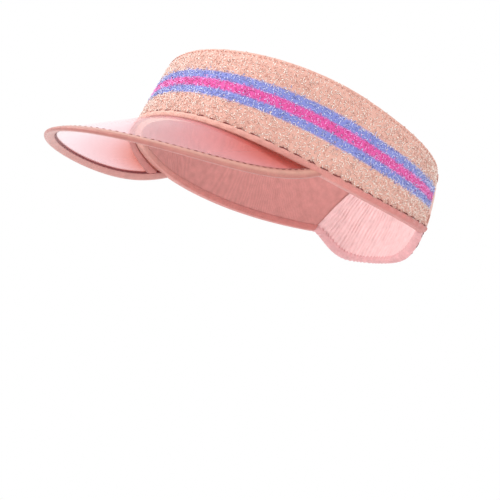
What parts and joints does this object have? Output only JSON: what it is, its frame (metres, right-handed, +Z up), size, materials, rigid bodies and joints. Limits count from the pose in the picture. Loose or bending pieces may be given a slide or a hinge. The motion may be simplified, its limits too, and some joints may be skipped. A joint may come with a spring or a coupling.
{
  "type": "sun visor",
  "caption": "Sun visor: striped padded terry headband, arched tinted clear bill with satin bound rim, ruched elastic nape section.",
  "frame": {"origin": "on the surface the visor stands on, under the middle of its outline", "axes": "+X to the wearer's left, +Y to the wearer's back with the bill reaching towards -Y, +Z up from the surface"},
  "size_m": [0.168, 0.26, 0.0819],
  "materials": {
    "terry": "looped terry towelling with dyed lengthwise stripes",
    "foam": "open-cell polyurethane foam",
    "lining": "soft knitted lining",
    "hem_tape": "woven bias tape, puckered by its stitching",
    "seam_tape": "woven tape",
    "label": "woven satin label, blank",
    "bill_pvc": "clear flexible vinyl with a red-pink tint, glossy",
    "bill_tape": "satin bias tape",
    "root_tape": "woven tape",
    "nape_fabric": "ruched jersey",
    "elastic": "knitted elastic",
    "hem_thread": "spun polyester thread",
    "band_thread": "spun polyester thread",
    "bill_thread": "spun polyester thread"
  },
  "bodies": {
    "band": {"terry_shell": "terry", "foam_core": "foam", "inner_lining": "lining", "hem_binding": "hem_tape", "seam_tape_left": "seam_tape", "seam_tape_right": "seam_tape", "care_label": "label", "bill_sheet": "bill_pvc", "bill_binding": "bill_tape", "bill_root_tape": "root_tape", "hem_topstitch": "hem_thread", "top_edge_stitch": "band_thread", "seam_bar_tacks": "band_thread", "bill_stitch_upper": "bill_thread", "bill_stitch_lower": "bill_thread"},
    "nape": {"nape_cover_outer": "nape_fabric", "nape_cover_inner": "nape_fabric", "nape_elastic": "elastic", "nape_hem_binding": "hem_tape", "nape_channel_stitch": "band_thread", "nape_hem_stitch": "hem_thread"}
  },
  "joints": [
    {"name": "nape_elastic_stretch", "type": "slide", "parent": "band", "child": "nape", "axis": [0, 1, 0], "range_m": [0, 0.02], "stiffness_N_per_m": 180}
  ]
}
